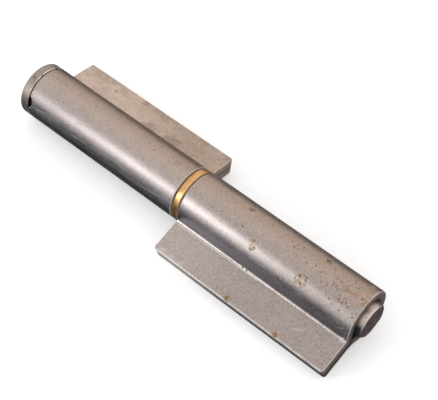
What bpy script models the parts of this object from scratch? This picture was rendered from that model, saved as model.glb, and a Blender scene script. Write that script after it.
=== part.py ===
"""Weld-on hinge: two pressed knuckles with two-ply leaves, a pin, a brass washer and an end cap.

The hinge lies opened out, as it comes to rest on a bench: its axis runs along X and the barrel and
the outer edges of both leaves touch the ground at Z = 0. The pin stands fixed in the lower half, at
+X. The upper half, at -X, turns on the pin and lifts off it along -X. All sizes are in metres.
"""
import math

import bmesh
import bpy
from mathutils import Matrix, Vector

# Knuckles: a strip of this thickness is rolled round the bore
SHEET = 0.003
UPPER_LENGTH = 0.0680
LOWER_LENGTH = 0.0710
EDGE_ROUNDING = 0.00025

# Leaves: the strip's two ends lie flat on each other and form the leaf
LEAF_REACH = 0.0225
LEAF_DROP = 0.00215
PLY_GAP = 0.0003
LEAF_CORNER_RADIUS = 0.0009
CREASE_RADIUS = 0.0015
SWEEP_RADIUS = 0.006

# Pilot notch in the middle of the strip's edge, at the capped end
NOTCH_RADIUS = 0.0027
NOTCH_DEPTH = 0.0015
NOTCH_CUTTER_SHEETS = 3

# Pin: it stands proud of the lower knuckle and ends short of the cap's spigot
PIN_RADIUS = 0.0065
PIN_BORE_CLEARANCE = 0.0005
PIN_STICKOUT = 0.0024
PIN_HEAD_CHAMFER = 0.00075
PIN_HEAD_CHAMFER_LENGTH = 0.0012
PIN_NOSE_CLEARANCE = 0.005
PIN_NOSE_CHAMFER = 0.0012

# Washer between the two knuckles, as wide as they are
WASHER_THICKNESS = 0.0028
WASHER_BORE_CLEARANCE = 0.0003
WASHER_FACE_CLEARANCE = 0.0003
WASHER_EDGE = 0.0005

# End cap, as wide as the knuckle, with its spigot in the upper knuckle's bore
CAP_HEAD = 0.0037
CAP_SEAT_CLEARANCE = 0.0003
CAP_SPIGOT = 0.0060
CAP_SPIGOT_CLEARANCE = 0.0003
CAP_RIM_CHAMFER = 0.0006
CAP_SEAT_CHAMFER = 0.0003

# Facets, and the corners that stay sharp in shading or get eased
BARREL_STEPS = 72
BEND_STEPS = 8
ROUND_STEPS = 64
EDGE_STEPS = 4
SHARP_ANGLE = math.radians(30)
EASED_ANGLE = math.radians(50)

# Sizes that follow from the ones above
BORE_RADIUS = PIN_RADIUS + PIN_BORE_CLEARANCE
BARREL_RADIUS = BORE_RADIUS + SHEET
LEAF_HALF = SHEET + PLY_GAP / 2
LEAF_TOP = LEAF_HALF - LEAF_DROP
LEAF_BOTTOM = -LEAF_HALF - LEAF_DROP
REST_TILT = (math.asin(BARREL_RADIUS / math.hypot(LEAF_REACH, LEAF_BOTTOM))
             - math.atan2(-LEAF_BOTTOM, LEAF_REACH))

PIN_END_X = (CAP_HEAD + CAP_SEAT_CLEARANCE + UPPER_LENGTH + WASHER_THICKNESS
             + 2 * WASHER_FACE_CLEARANCE + LOWER_LENGTH + PIN_STICKOUT) / 2
LOWER_END_X = PIN_END_X - PIN_STICKOUT
LOWER_START_X = LOWER_END_X - LOWER_LENGTH
WASHER_X = LOWER_START_X - WASHER_FACE_CLEARANCE - WASHER_THICKNESS / 2
UPPER_END_X = WASHER_X - WASHER_THICKNESS / 2 - WASHER_FACE_CLEARANCE
UPPER_START_X = UPPER_END_X - UPPER_LENGTH
CAP_SEAT_X = UPPER_START_X - CAP_SEAT_CLEARANCE

STEEL = (0.36, 0.33, 0.31, 1.0)
PIN_STEEL = (0.30, 0.27, 0.26, 1.0)
BRASS = (0.62, 0.36, 0.12, 1.0)


def clear_scene():
    """Removes whatever the file opened with."""
    for old in list(bpy.data.objects):
        bpy.data.objects.remove(old, do_unlink=True)


def new_collection(name):
    """Makes a collection in the scene."""
    collection = bpy.data.collections.new(name)
    bpy.context.scene.collection.children.link(collection)
    return collection


def metal(name, colour, roughness):
    """A metal of one colour."""
    material = bpy.data.materials.new(name)
    material.use_nodes = True
    shader = material.node_tree.nodes["Principled BSDF"]
    shader.inputs["Base Color"].default_value = colour
    shader.inputs["Metallic"].default_value = 1.0
    shader.inputs["Roughness"].default_value = roughness
    return material


def new_object(name, mesh, collection, material=None, parent=None):
    """Puts a mesh into the scene as a named object."""
    made = bpy.data.objects.new(name, mesh)
    collection.objects.link(made)
    if material is not None:
        made.data.materials.append(material)
    if parent is not None:
        made.parent = parent
    return made


def arc(centre, radius, start, end, steps):
    """Points on an arc, from one angle to another, both ends included."""
    angles = [start + (end - start) * step / steps for step in range(steps + 1)]
    return [(centre[0] + radius * math.cos(a), centre[1] + radius * math.sin(a)) for a in angles]


def bend_centre(bend_radius, leaf_level, side):
    """Centre of a bend that is tangent to the barrel outside and to a leaf face.

    side is 1 for the upper face, with the bend above it, and -1 for the lower face.
    """
    level = leaf_level + side * bend_radius
    return math.sqrt((BARREL_RADIUS + bend_radius) ** 2 - level ** 2), level


def strip_outline():
    """Outer line of the folded strip in the leaf's own plane, from ply end to ply end.

    The first coordinate runs out along the leaf and the second one up, from the barrel's axis.
    """
    crease = bend_centre(CREASE_RADIUS, LEAF_TOP, 1)
    sweep = bend_centre(SWEEP_RADIUS, LEAF_BOTTOM, -1)
    crease_angle = math.atan2(crease[1], crease[0])
    sweep_angle = math.atan2(sweep[1], sweep[0])
    points = [(LEAF_REACH, LEAF_TOP)]
    points += arc(crease, CREASE_RADIUS, -math.pi / 2, crease_angle - math.pi, BEND_STEPS)
    points += arc((0.0, 0.0), BARREL_RADIUS, crease_angle, sweep_angle + 2 * math.pi, BARREL_STEPS)[1:-1]
    points += arc(sweep, SWEEP_RADIUS, sweep_angle + math.pi, math.pi / 2, BEND_STEPS)
    points.append((LEAF_REACH, LEAF_BOTTOM))
    return points


def notch_angle():
    """Direction of the strip's middle in the leaf's plane: half its flat length from either ply end.

    Lengths are walked at mid-thickness, where a bend neither stretches nor shortens the strip.
    """
    crease = bend_centre(CREASE_RADIUS, LEAF_TOP, 1)
    sweep = bend_centre(SWEEP_RADIUS, LEAF_BOTTOM, -1)
    crease_angle = math.atan2(crease[1], crease[0])
    sweep_angle = math.atan2(sweep[1], sweep[0])
    half_sheet = SHEET / 2
    roll_radius = BARREL_RADIUS - half_sheet
    upper_run = LEAF_REACH - crease[0] + (CREASE_RADIUS + half_sheet) * (math.pi / 2 - crease_angle)
    lower_run = LEAF_REACH - sweep[0] + (SWEEP_RADIUS + half_sheet) * (math.pi / 2 + sweep_angle)
    roll_run = roll_radius * (sweep_angle + 2 * math.pi - crease_angle)
    return crease_angle + (roll_run + lower_run - upper_run) / 2 / roll_radius


def strip_surface(name, length):
    """Open surface of a folded strip, its leaf towards +Y, with rounded leaf corners."""
    surface = bmesh.new()
    rows = [[surface.verts.new((x, y, z)) for y, z in strip_outline()] for x in (0.0, length)]
    for step in range(len(rows[0]) - 1):
        near, far = rows[0][step:step + 2], rows[1][step:step + 2]
        surface.faces.new((near[0], near[1], far[1], far[0]))
    corners = [row[end] for row in rows for end in (0, -1)]
    bmesh.ops.bevel(surface, geom=corners, offset=LEAF_CORNER_RADIUS, offset_type="OFFSET",
                    segments=EDGE_STEPS, profile=0.5, affect="VERTICES")
    bmesh.ops.recalc_face_normals(surface, faces=surface.faces)
    outward = max(surface.faces, key=lambda face: face.calc_center_median().z)
    if outward.normal.z < 0:
        bmesh.ops.reverse_faces(surface, faces=surface.faces)
    mesh = bpy.data.meshes.new(name)
    surface.to_mesh(mesh)
    surface.free()
    return mesh


def finish_round(made):
    """Shades a round piece smooth and keeps its corners."""
    mesh = made.data
    mesh.shade_smooth()
    mesh.set_sharp_from_angle(angle=SHARP_ANGLE)


def make_knuckle(name, length, collection, material, parent):
    """One folded half: the strip is given its thickness inwards and its edges are eased."""
    made = new_object(name, strip_surface(name, length), collection, material, parent)
    finish_round(made)
    wall = made.modifiers.new("sheet", "SOLIDIFY")
    wall.thickness = SHEET
    wall.offset = -1.0
    wall.use_even_offset = True
    wall.use_quality_normals = True
    edges = made.modifiers.new("eased edges", "BEVEL")
    edges.width = EDGE_ROUNDING
    edges.segments = 1
    edges.limit_method = "ANGLE"
    edges.angle_limit = EASED_ANGLE
    edges.use_clamp_overlap = True
    return made


def cut_notch(knuckle, cutters):
    """Cuts the half-moon out of the strip's edge at X = 0, opposite the leaf."""
    angle = notch_angle()
    shape = bmesh.new()
    bmesh.ops.create_cone(shape, cap_ends=True, segments=ROUND_STEPS // 2, radius1=NOTCH_RADIUS,
                          radius2=NOTCH_RADIUS, depth=NOTCH_CUTTER_SHEETS * SHEET)
    mesh = bpy.data.meshes.new("notch_cutter")
    shape.to_mesh(mesh)
    shape.free()
    cutter = new_object("notch_cutter", mesh, cutters, parent=knuckle)
    middle = BARREL_RADIUS - SHEET / 2
    cutter.location = (NOTCH_DEPTH - NOTCH_RADIUS, middle * math.cos(angle), middle * math.sin(angle))
    cutter.rotation_euler = (angle - math.pi / 2, 0.0, 0.0)
    cutter.hide_render = True
    cutter.display_type = "WIRE"
    cut = knuckle.modifiers.new("pilot notch", "BOOLEAN")
    cut.operation = "DIFFERENCE"
    cut.solver = "EXACT"
    cut.object = cutter


def make_turned(name, profile, collection, material, parent, closed=False):
    """A turned piece: the profile (radius, station) spins about the hinge's axis.

    A profile's stations fall from the first point to the last along its outer side.
    """
    outline = bmesh.new()
    points = [outline.verts.new((radius, 0.0, station)) for radius, station in profile]
    pairs = list(zip(points, points[1:]))
    if closed:
        pairs.append((points[-1], points[0]))
    for pair in pairs:
        outline.edges.new(pair)
    mesh = bpy.data.meshes.new(name)
    outline.to_mesh(mesh)
    outline.free()
    made = new_object(name, mesh, collection, material, parent)
    spin = made.modifiers.new("turned", "SCREW")
    spin.axis = "Z"
    spin.angle = 2 * math.pi
    spin.steps = ROUND_STEPS
    spin.render_steps = ROUND_STEPS
    spin.use_merge_vertices = True
    spin.merge_threshold = 0.00001
    spin.use_normal_calculate = False
    spin.use_smooth_shade = True
    made.rotation_euler = (0.0, math.pi / 2, 0.0)
    return made


def make_pin(collection, material, parent):
    """The pin, with a chamfered head end at +X and a chamfered nose in the upper knuckle."""
    head = PIN_END_X
    nose = CAP_SEAT_X + CAP_SEAT_CLEARANCE + CAP_SPIGOT + PIN_NOSE_CLEARANCE
    profile = [
        (0.0, head),
        (PIN_RADIUS - PIN_HEAD_CHAMFER, head),
        (PIN_RADIUS, head - PIN_HEAD_CHAMFER_LENGTH),
        (PIN_RADIUS, nose + PIN_NOSE_CHAMFER),
        (PIN_RADIUS - PIN_NOSE_CHAMFER, nose),
        (0.0, nose),
    ]
    return make_turned("hinge_pin", profile, collection, material, parent)


def make_washer(collection, material, parent):
    """The brass washer, a ring with rounded outer edges."""
    half = WASHER_THICKNESS / 2
    bore = PIN_RADIUS + WASHER_BORE_CLEARANCE
    centre_radius = BARREL_RADIUS - WASHER_EDGE
    centre_station = half - WASHER_EDGE
    quarter = math.pi / 2
    profile = [(bore, half)]
    profile += arc((centre_radius, centre_station), WASHER_EDGE, quarter, 0.0, EDGE_STEPS)
    profile += arc((centre_radius, -centre_station), WASHER_EDGE, 0.0, -quarter, EDGE_STEPS)
    profile.append((bore, -half))
    washer = make_turned("brass_washer", profile, collection, material, parent, closed=True)
    washer.location.x = WASHER_X
    return washer


def make_cap(collection, material, parent):
    """The end cap: a disc on the knuckle's end, with a spigot in the bore."""
    spigot = BORE_RADIUS - CAP_SPIGOT_CLEARANCE
    profile = [
        (0.0, CAP_SPIGOT + CAP_SEAT_CLEARANCE),
        (spigot - CAP_SEAT_CHAMFER, CAP_SPIGOT + CAP_SEAT_CLEARANCE),
        (spigot, CAP_SPIGOT + CAP_SEAT_CLEARANCE - CAP_SEAT_CHAMFER),
        (spigot, 0.0),
        (BARREL_RADIUS - CAP_SEAT_CHAMFER, 0.0),
        (BARREL_RADIUS, -CAP_SEAT_CHAMFER),
        (BARREL_RADIUS, CAP_RIM_CHAMFER - CAP_HEAD),
        (BARREL_RADIUS - CAP_RIM_CHAMFER, -CAP_HEAD),
        (0.0, -CAP_HEAD),
    ]
    cap = make_turned("end_cap", profile, collection, material, parent)
    cap.location.x = CAP_SEAT_X
    return cap


def main():
    """Builds the hinge."""
    clear_scene()
    hinge = new_collection("weld_on_hinge")
    cutters = new_collection("cutters")
    steel = metal("pressed steel", STEEL, 0.42)
    pin_steel = metal("pin steel", PIN_STEEL, 0.40)
    cap_steel = metal("cap steel", STEEL, 0.45)
    brass = metal("brass", BRASS, 0.30)

    axis = bpy.data.objects.new("hinge_axis", None)
    axis.location = (0.0, 0.0, BARREL_RADIUS)
    hinge.objects.link(axis)

    upper = make_knuckle("upper_leaf", UPPER_LENGTH, hinge, steel, axis)
    upper.location.x = UPPER_START_X
    upper.rotation_euler = (-REST_TILT, 0.0, 0.0)
    cut_notch(upper, cutters)

    lower = make_knuckle("lower_leaf", LOWER_LENGTH, hinge, steel, axis)
    lower.rotation_mode = "QUATERNION"
    turned_about = Matrix.Rotation(REST_TILT, 4, Vector((1.0, 0.0, 0.0)))
    facing_back = Matrix.Rotation(math.pi, 4, Vector((0.0, 0.0, 1.0)))
    lower.rotation_quaternion = (turned_about @ facing_back).to_quaternion()
    lower.location.x = LOWER_END_X

    make_pin(hinge, pin_steel, axis)
    make_washer(hinge, brass, axis)
    make_cap(hinge, cap_steel, axis)


main()
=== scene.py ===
"""Looks of a weld-on hinge: fine surfaces, bare steel and brass, a pale floor, a lamp and a camera.

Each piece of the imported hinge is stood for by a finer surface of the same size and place, worked out
as arrays. Lengths are in metres. Angles round the barrel are in degrees in the YZ plane, from +Y
towards +Z, so that 90 is the top of the barrel and 180 faces -Y.
"""

import logging
import math
from collections.abc import Callable
from dataclasses import dataclass, field
from enum import Enum
from functools import reduce

import bmesh
import bpy
import numpy as np
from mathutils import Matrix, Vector


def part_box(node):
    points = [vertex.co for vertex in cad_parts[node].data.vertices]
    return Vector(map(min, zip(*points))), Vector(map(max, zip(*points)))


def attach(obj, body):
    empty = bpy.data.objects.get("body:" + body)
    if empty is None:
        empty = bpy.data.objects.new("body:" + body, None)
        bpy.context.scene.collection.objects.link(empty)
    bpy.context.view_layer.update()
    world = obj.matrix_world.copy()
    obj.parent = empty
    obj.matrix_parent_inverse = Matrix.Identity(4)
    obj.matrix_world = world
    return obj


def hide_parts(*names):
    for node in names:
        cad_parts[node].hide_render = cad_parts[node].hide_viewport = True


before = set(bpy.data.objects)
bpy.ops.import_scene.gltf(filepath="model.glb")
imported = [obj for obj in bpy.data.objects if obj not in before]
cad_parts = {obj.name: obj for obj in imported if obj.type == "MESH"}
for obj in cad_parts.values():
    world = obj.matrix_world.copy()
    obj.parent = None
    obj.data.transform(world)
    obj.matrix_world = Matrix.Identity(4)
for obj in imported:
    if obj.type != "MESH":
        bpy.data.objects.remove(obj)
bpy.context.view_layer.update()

LOG = logging.getLogger("hinge")

Array = np.ndarray
Span = tuple[float, float]
Colour = tuple[float, float, float]
Place = tuple[float, float, float]
Placing = Callable[[float, float], Place]
Stops = tuple[tuple[float, Colour], ...]

MM = 0.001
SHARP = math.radians(48)
TURN_RANGE = (-30.0, 240.0)
WARMER = (1.015, 1.0, 0.98)
COOLER = (0.985, 1.0, 1.02)


class Slot(Enum):
    """Material slots of the record."""

    PRESSED_STEEL = "pressed_steel"
    PIN_STEEL = "pin_steel"
    BRASS = "brass"
    CAP_STEEL = "cap_steel"


class Body(Enum):
    """Bodies that move as one."""

    LOWER_HALF = "lower_half"
    WASHER = "washer"
    UPPER_HALF = "upper_half"


class MarkColour(Enum):
    """Colours of marks on bare steel: what rust and handling leave, and painted shade and painted highlights."""

    GOLD = (0.460, 0.325, 0.185)
    RUST = (0.480, 0.215, 0.080)
    OLIVE = (0.380, 0.250, 0.130)
    UMBER = (0.110, 0.060, 0.034)
    SCAB = (0.215, 0.120, 0.060)
    # The near-black below is dirt and also painted shade; the near-white after it is rubbed metal and also painted
    # highlight.
    SOOT = (0.018, 0.017, 0.018)
    BRIGHT = (0.860, 0.810, 0.780)


Spots = tuple[tuple[MarkColour, float, float, tuple[Span, ...]], ...]
Lines = tuple[tuple[MarkColour, float, float, Span, Span], ...]


class Paint(Enum):
    """Values that a knuckle's mesh carries at each point, for its steel to read."""

    TURN = "turn"
    LEAF = "leaf"
    RIM = "rim"
    # Rubbed edges, which also carry a painted highlight.
    RUB = "rub"
    SHEARED = "sheared"
    BORE = "bore"
    # The painted highlight along the crease.
    CREASE = "crease_line"


def turned(degrees: float | Span | Array) -> Array:
    """Angle round the barrel as the mesh carries it: from 0 at the first angle to 1 at the last."""
    first, last = TURN_RANGE
    return np.clip((np.asarray(degrees) - first) / (last - first), 0.0, 1.0)


def ray(turn: float | Array) -> Array:
    """Unit vectors at some angles in radians: their cosines and sines."""
    return np.stack([np.cos(turn), np.sin(turn)], axis=-1)


# Shader maths


class Wire:
    """One output socket of a shader, which Python's operators carry on into Math nodes."""

    def __init__(self, graph: "Graph", socket: bpy.types.NodeSocket) -> None:
        """Wraps an output socket of a node in a graph."""
        self.graph = graph
        self.socket = socket

    def _math(self, operation: str, first: "Wire | float", second: "Wire | float") -> "Wire":
        """Adds a Math node on two values."""
        return self.graph.add("ShaderNodeMath", {"operation": operation}, {0: first, 1: second})

    def __add__(self, other: "Wire | float") -> "Wire":
        """Sum."""
        return self._math("ADD", self, other)

    def __radd__(self, other: float) -> "Wire":
        """Sum, with the number first."""
        return self._math("ADD", other, self)

    def __sub__(self, other: "Wire | float") -> "Wire":
        """Difference."""
        return self._math("SUBTRACT", self, other)

    def __rsub__(self, other: float) -> "Wire":
        """Difference, with the number first."""
        return self._math("SUBTRACT", other, self)

    def __mul__(self, other: "Wire | float") -> "Wire":
        """Product."""
        return self._math("MULTIPLY", self, other)

    def __or__(self, other: "Wire") -> "Wire":
        """The larger of two masks, which joins them."""
        return self._math("MAXIMUM", self, other)

    def magnitude(self) -> "Wire":
        """The value without its sign."""
        return self._math("ABSOLUTE", self, 0.0)

    def swing(self, amount: "Wire | float") -> "Wire":
        """A noise moved to swing about 0, from minus to plus half an amount."""
        return (self - 0.5) * amount

    def step(self, low: float, high: float) -> "Wire":
        """A smooth mask that goes from 0 where the value is low to 1 where it is high.

        Args:
            low: The value at which the mask is 0. It may be the larger one.
            high: The value at which the mask is 1.

        Returns:
            The mask.
        """
        span = {"From Min": low, "From Max": high}
        if low > high:
            span = {"From Min": high, "From Max": low, "To Min": 1.0, "To Max": 0.0}
        return self.graph.add("ShaderNodeMapRange", {"interpolation_type": "SMOOTHSTEP"},
                              {"Value": self, **span})

    def near(self, middle: float, reach: float, core: float) -> "Wire":
        """A mask round a value: 0 beyond a reach to either side, and 1 within a core."""
        return (self - middle).magnitude().step(reach, core)


Tint = Wire | Colour


class Graph:
    """The node tree of one material, with its Principled shader."""

    def __init__(self, name: str) -> None:
        """Makes a material.

        Args:
            name: The material's name.
        """
        self.material = bpy.data.materials.new(name)
        self.material.use_nodes = True
        self.tree = self.material.node_tree
        self.shader = self.tree.nodes["Principled BSDF"]
        self.place = Wire(self, self.tree.nodes.new("ShaderNodeTexCoord").outputs["Object"])

    def add(self, kind: str, settings: dict, inputs: dict, output: int | str = 0) -> Wire:
        """Adds any node.

        Args:
            kind: The node's type.
            settings: The node's own settings, set before its sockets.
            inputs: Socket name or number to a wire or a constant.
            output: The output to hand back.

        Returns:
            The wire of that output.
        """
        node = self.tree.nodes.new(kind)
        for key, value in settings.items():
            if key == "stops":
                self.stop(node.color_ramp.elements, value)
            else:
                setattr(node, key, value)
        for key, value in inputs.items():
            self.put(node.inputs[key], value)
        return Wire(self, node.outputs[output])

    @staticmethod
    def stop(elements: bpy.types.ColorRampElements, stops: Stops) -> None:
        """Sets a ramp's stops.

        Args:
            elements: The ramp's own stops, of which more are added where they run out.
            stops: A position from 0 to 1 and a colour for each.
        """
        while len(elements) < len(stops):
            elements.new(1.0)
        for element, (position, colour) in zip(elements, stops):
            element.position = position
            element.color = (*colour, 1.0)

    def put(self, socket: bpy.types.NodeSocket, value: Wire | float | tuple) -> None:
        """Links a wire to a socket, or sets the socket's constant.

        Args:
            socket: The input socket.
            value: The wire or the constant. A colour needs no alpha.
        """
        if isinstance(value, Wire):
            self.tree.links.new(value.socket, socket)
        elif isinstance(value, tuple) and socket.type == "RGBA":
            socket.default_value = (*value, 1.0)
        else:
            socket.default_value = value

    def noise(self, size: float, detail: float = 2.0, stretch: Place = (1.0, 1.0, 1.0),
              shift: float = 0.0, rough: float = 0.5) -> Wire:
        """Cloudy noise from 0 to 1 in the piece's own space.

        Args:
            size: The size of its features, in metres.
            detail: The number of finer layers.
            stretch: How many times longer the features are along X, Y and Z.
            shift: Moves the pattern, so that two noises differ.
            rough: The strength of the finer layers.

        Returns:
            The noise.
        """
        scale = tuple(1.0 / (size * times) for times in stretch)
        spot = self.add("ShaderNodeMapping", {},
                        {"Vector": self.place, "Location": (shift, shift, shift), "Scale": scale})
        return self.add("ShaderNodeTexNoise", {},
                        {"Vector": spot, "Scale": 1.0, "Detail": detail, "Roughness": rough})

    def vector(self, operation: str, *values: Wire | Place, output: str = "Vector") -> Wire:
        """Adds a Vector Math node on some vectors."""
        return self.add("ShaderNodeVectorMath", {"operation": operation}, dict(enumerate(values)), output)

    def distance(self, centre: Place | Wire, place: Wire | None = None) -> Wire:
        """Distance in metres from a point to a place, which is the shaded one unless it is given."""
        return self.vector("DISTANCE", place or self.place, centre, output="Value")

    def segment(self, start: Place, end: Place) -> Wire:
        """Distance from a line, measured from the shaded point's foot on it.

        The foot lies between the line's ends, at the share of it that the dot product of the line
        and the way from its start gives, divided by the line's squared length.

        Args:
            start: One end of the line.
            end: The other end.

        Returns:
            The distance in metres.
        """
        along = np.subtract(end, start)
        reach = self.vector("DOT_PRODUCT", self.place, tuple(along), output="Value") - float(along @ start)
        share = self.add("ShaderNodeMath", {"operation": "MULTIPLY", "use_clamp": True},
                         {0: reach, 1: 1.0 / float(along @ along)})
        return self.distance(self.vector("MULTIPLY_ADD", share, tuple(along), start))

    def axes(self) -> tuple[Wire, Wire, Wire]:
        """Splits the shaded point's place.

        Returns:
            Its X, Y and Z.
        """
        split = self.tree.nodes.new("ShaderNodeSeparateXYZ")
        self.put(split.inputs[0], self.place)
        return tuple(Wire(self, socket) for socket in split.outputs)

    def off_axis(self, height: float) -> Wire:
        """Distance from the line along X at a height."""
        flat = self.vector("MULTIPLY", self.place, (0.0, 1.0, 1.0))
        return self.distance((0.0, 0.0, height), flat)

    def paint(self, name: Paint) -> Wire:
        """A value that the mesh carries at each point."""
        return self.add("ShaderNodeAttribute", {"attribute_name": name.value}, {}, "Fac")

    def rings(self, height: float, size: float) -> Wire:
        """Noise that varies only with the distance from the line along X at a height."""
        return self.add("ShaderNodeTexNoise", {"noise_dimensions": "1D"},
                        {"W": self.off_axis(height) * (1.0 / size), "Scale": 1.0, "Detail": 2.0})

    def ramp(self, value: Wire, stops: Stops) -> Wire:
        """A colour looked up along a value from 0 to 1."""
        return self.add("ShaderNodeValToRGB", {"stops": stops}, {0: value})

    def blend(self, mask: Wire | float, off: Tint, on: Tint, way: str = "MIX") -> Wire:
        """A colour that goes from one to another with a mask, or in another of Mix's ways."""
        settings = {"data_type": "RGBA", "blend_type": way}
        return self.add("ShaderNodeMix", settings, {0: mask, 6: off, 7: on}, 2)

    def tinted(self, mask: Wire, colour: Tint) -> Wire:
        """A colour made a little warmer where a mask is 0 and a little cooler where it is 1."""
        return self.blend(1.0, colour, self.blend(mask, WARMER, COOLER), "MULTIPLY")

    def shade(self, amount: Wire, colour: Tint) -> Wire:
        """A colour made lighter or darker by a factor."""
        grey = self.add("ShaderNodeCombineColor", {}, {0: amount, 1: amount, 2: amount})
        return self.blend(1.0, colour, grey, "MULTIPLY")

    def bump(self, height: Wire, depth: float, below: Wire | None = None) -> Wire:
        """Relief of a given depth in metres, on top of another relief where there is one."""
        under = {"Normal": below} if below else {}
        return self.add("ShaderNodeBump", {}, {"Height": height, "Distance": depth, "Strength": 1.0, **under})

    def finish(self, colour: Wire, roughness: Wire, metallic: Wire | float, normal: Wire) -> None:
        """Connects what varies over a surface to the Principled shader.

        Args:
            colour: The base colour.
            roughness: The roughness.
            metallic: How far it is bare metal.
            normal: The relief.
        """
        for name, value in (("Base Color", colour), ("Roughness", roughness), ("Metallic", metallic),
                            ("Normal", normal)):
            self.put(self.shader.inputs[name], value)

    def settle(self, **constants: float) -> None:
        """Sets constants on the shader's own sockets, each named with _ for a space."""
        for name, value in constants.items():
            self.shader.inputs[name.replace("_", " ")].default_value = value


# Finishes


class Finish:
    """What a piece is made of and how it looks, as a material."""

    def dress(self, graph: Graph) -> None:
        """Adds the finish's nodes to a graph."""
        raise NotImplementedError

    def material(self, name: str) -> bpy.types.Material:
        """Builds the material.

        Args:
            name: The material's name.

        Returns:
            The material.
        """
        graph = Graph(name)
        self.dress(graph)
        return graph.material


@dataclass(frozen=True)
class Mark:
    """A spot on a piece, a stain, painted shade or a painted highlight, whose strength is how much it covers at
    its middle.
    """

    centre: Place
    radius: float
    stain: MarkColour
    strength: float = 0.9


@dataclass(frozen=True)
class Scratch:
    """A thin line on a piece, strongest at its middle: rubbed bright, filled with dirt, or a line of painted shade
    or painted highlight.
    """

    start: Place
    end: Place
    width: float
    stain: MarkColour
    strength: float


def spotted(place: Placing, groups: Spots) -> tuple[Mark, ...]:
    """Marks of a table of spots, each at the point that its two numbers stand for."""
    return tuple(Mark(place(*spot), radius * MM, stain, strength)
                 for stain, strength, radius, spots in groups for spot in spots)


def scratched(place: Placing, lines: Lines) -> tuple[Scratch, ...]:
    """Scratches of a table of lines, between the points that their ends' two numbers stand for."""
    return tuple(Scratch(place(*start), place(*end), width * MM, stain, strength)
                 for stain, strength, width, start, end in lines)


@dataclass(frozen=True)
class Wear:
    """What handling and damp have left on a piece, and the painted shade and highlights set among its marks.

    Attributes:
        marks: Spots placed one by one.
        scratches: Lines placed one by one.
        rusty: Places where rust freckles crowd, as wide marks.
        freckles: How much a freckle covers.
        zone_core: Share of a rusty place's radius within which freckles crowd most.
        mark_core: Share of a mark's radius within which it covers most.
        scratch_core: The same of a scratch's width.
    """

    marks: tuple[Mark, ...] = ()
    scratches: tuple[Scratch, ...] = ()
    rusty: tuple[Mark, ...] = ()
    freckles: float = 0.4
    zone_core: float = 0.2
    mark_core: float = 0.55
    scratch_core: float = 0.2

    def freckled(self, graph: Graph, colour: Tint) -> tuple[Wire, Wire]:
        """Strews rust freckles, which crowd in the rusty places.

        Args:
            graph: The material's graph.
            colour: The colour below them.

        Returns:
            The freckled colour, and the mask of the freckles.
        """
        crowd = graph.noise(12 * MM, 1.0, shift=2.2).swing(0.12)
        for zone in self.rusty:
            inside = graph.distance(zone.centre).step(zone.radius, self.zone_core * zone.radius)
            crowd = crowd + inside * zone.strength
        specks = graph.noise(0.62 * MM, 3.0, shift=9.4, rough=0.6)
        covered = (specks + crowd).step(0.62, 0.74) * self.freckles
        hue = graph.noise(2.1 * MM, shift=8.2).step(0.42, 0.62)
        return graph.blend(covered, colour, graph.blend(hue, MarkColour.SCAB.value, MarkColour.RUST.value)), covered

    def lay(self, graph: Graph, colour: Tint) -> tuple[Wire, Wire]:
        """Lays rust, stains, scratches, painted shade and painted highlights over a colour.

        A mark's edge wanders in and out by a noise times its radius, and crumbs thin it out.

        Args:
            graph: The material's graph.
            colour: The clean colour.

        Returns:
            The worn colour, and the mask of where rust, dirt, painted shade and painted highlight cover the metal.
        """
        colour, covered = self.freckled(graph, colour)
        crumbs = graph.noise(0.75 * MM, 3.0, shift=4.9, rough=0.7).step(0.36, 0.56) * 0.55 + 0.45
        wander = graph.noise(1.3 * MM, shift=6.1).swing(1.5)
        for stain in MarkColour:
            spots = [(graph.distance(mark.centre) + wander * mark.radius).step(
                mark.radius, self.mark_core * mark.radius) * mark.strength
                for mark in self.marks if mark.stain is stain]
            if spots:
                mask = reduce(Wire.__or__, spots) * crumbs
                colour = graph.blend(mask, colour, stain.value)
                covered = covered | mask
        waver = graph.noise(1.8 * MM, shift=14.3).swing(0.7 * MM).magnitude()
        for line in self.scratches:
            gap = graph.segment(line.start, line.end) + waver
            mask = gap.step(line.width, self.scratch_core * line.width) * line.strength
            colour = graph.blend(mask, colour, line.stain.value)
        return colour, covered


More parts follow.
